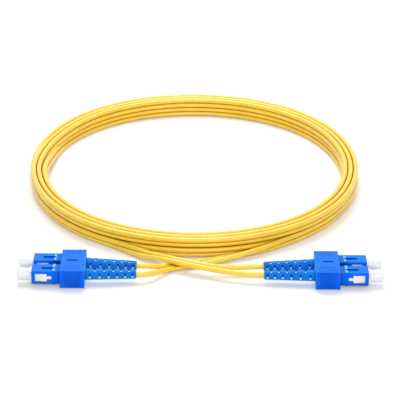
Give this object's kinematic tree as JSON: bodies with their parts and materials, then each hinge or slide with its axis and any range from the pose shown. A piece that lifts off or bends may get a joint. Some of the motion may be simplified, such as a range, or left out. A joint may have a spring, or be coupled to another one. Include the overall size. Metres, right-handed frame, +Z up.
{
  "type": "fiber optic patch cord",
  "caption": "Duplex fibre optic patch cord: square push-pull connectors in clips, with dust caps, slotted boots and a coiled twin cable.",
  "frame": {"origin": "On the surface that the cord lies on, midway between the two connector pairs and under the line between the two plugs of each pair", "axes": "+X towards the right connector pair, +Y towards the coil, +Z up; the keys of the connectors face +Z"},
  "size_m": [0.1934, 0.2449, 0.012],
  "materials": {
    "sleeve_blue": "moulded, satin gloss",
    "clip_blue": "moulded, fine satin",
    "frame_white": "moulded",
    "zirconia": "polished",
    "plated_metal": "nickel plated",
    "spring_steel": "drawn wire",
    "rear_body_plastic": "moulded",
    "crimp_metal": "crimped tube",
    "fibre_buffer": "extruded buffer",
    "boot_blue": "soft moulded rubber",
    "cap_clear": "translucent, soft moulded",
    "cable_yellow": "extruded jacket, satin"
  },
  "bodies": {
    "cord": {"left_front_plug_frame": "frame_white", "left_front_spring": "spring_steel", "left_front_rear_body": "rear_body_plastic", "left_front_crimp_sleeve": "crimp_metal", "left_front_fibre": "fibre_buffer", "left_front_boot": "boot_blue", "left_front_leg": "cable_yellow", "left_rear_plug_frame": "frame_white", "left_rear_spring": "spring_steel", "left_rear_rear_body": "rear_body_plastic", "left_rear_crimp_sleeve": "crimp_metal", "left_rear_fibre": "fibre_buffer", "left_rear_boot": "boot_blue", "left_rear_leg": "cable_yellow", "right_front_plug_frame": "frame_white", "right_front_spring": "spring_steel", "right_front_rear_body": "rear_body_plastic", "right_front_crimp_sleeve": "crimp_metal", "right_front_fibre": "fibre_buffer", "right_front_boot": "boot_blue", "right_front_leg": "cable_yellow", "right_rear_plug_frame": "frame_white", "right_rear_spring": "spring_steel", "right_rear_rear_body": "rear_body_plastic", "right_rear_crimp_sleeve": "crimp_metal", "right_rear_fibre": "fibre_buffer", "right_rear_boot": "boot_blue", "right_rear_leg": "cable_yellow", "left_tail": "cable_yellow", "right_tail": "cable_yellow", "cable_coil": "cable_yellow"},
    "left_grip": {"left_front_sleeve": "sleeve_blue", "left_rear_sleeve": "sleeve_blue", "left_clip_upper": "clip_blue", "left_clip_lower": "clip_blue"},
    "right_grip": {"right_front_sleeve": "sleeve_blue", "right_rear_sleeve": "sleeve_blue", "right_clip_upper": "clip_blue", "right_clip_lower": "clip_blue"},
    "left_front_ferrule_unit": {"left_front_ferrule": "zirconia", "left_front_ferrule_holder": "plated_metal"},
    "left_front_cap": {"left_front_dust_cap": "cap_clear"},
    "left_rear_ferrule_unit": {"left_rear_ferrule": "zirconia", "left_rear_ferrule_holder": "plated_metal"},
    "left_rear_cap": {"left_rear_dust_cap": "cap_clear"},
    "right_front_ferrule_unit": {"right_front_ferrule": "zirconia", "right_front_ferrule_holder": "plated_metal"},
    "right_front_cap": {"right_front_dust_cap": "cap_clear"},
    "right_rear_ferrule_unit": {"right_rear_ferrule": "zirconia", "right_rear_ferrule_holder": "plated_metal"},
    "right_rear_cap": {"right_rear_dust_cap": "cap_clear"}
  },
  "joints": [
    {"name": "left_grip_pull", "type": "slide", "parent": "cord", "child": "left_grip", "axis": [1, 0, 0], "range_m": [0, 0.002]},
    {"name": "right_grip_pull", "type": "slide", "parent": "cord", "child": "right_grip", "axis": [-1, 0, 0], "range_m": [0, 0.002]},
    {"name": "left_front_ferrule_push", "type": "slide", "parent": "cord", "child": "left_front_ferrule_unit", "axis": [1, 0, 0], "range_m": [0, 0.001], "stiffness_N_per_m": 1500, "springref_m": -0.004, "deforming": ["left_front_spring"]},
    {"name": "left_front_cap_pull", "type": "slide", "parent": "cord", "child": "left_front_cap", "axis": [-1, 0, 0], "range_m": [0, 0.012]},
    {"name": "left_rear_ferrule_push", "type": "slide", "parent": "cord", "child": "left_rear_ferrule_unit", "axis": [1, 0, 0], "range_m": [0, 0.001], "stiffness_N_per_m": 1500, "springref_m": -0.004, "deforming": ["left_rear_spring"]},
    {"name": "left_rear_cap_pull", "type": "slide", "parent": "cord", "child": "left_rear_cap", "axis": [-1, 0, 0], "range_m": [0, 0.012]},
    {"name": "right_front_ferrule_push", "type": "slide", "parent": "cord", "child": "right_front_ferrule_unit", "axis": [-1, 0, 0], "range_m": [0, 0.001], "stiffness_N_per_m": 1500, "springref_m": -0.004, "deforming": ["right_front_spring"]},
    {"name": "right_front_cap_pull", "type": "slide", "parent": "cord", "child": "right_front_cap", "axis": [1, 0, 0], "range_m": [0, 0.012]},
    {"name": "right_rear_ferrule_push", "type": "slide", "parent": "cord", "child": "right_rear_ferrule_unit", "axis": [-1, 0, 0], "range_m": [0, 0.001], "stiffness_N_per_m": 1500, "springref_m": -0.004, "deforming": ["right_rear_spring"]},
    {"name": "right_rear_cap_pull", "type": "slide", "parent": "cord", "child": "right_rear_cap", "axis": [1, 0, 0], "range_m": [0, 0.012]}
  ]
}
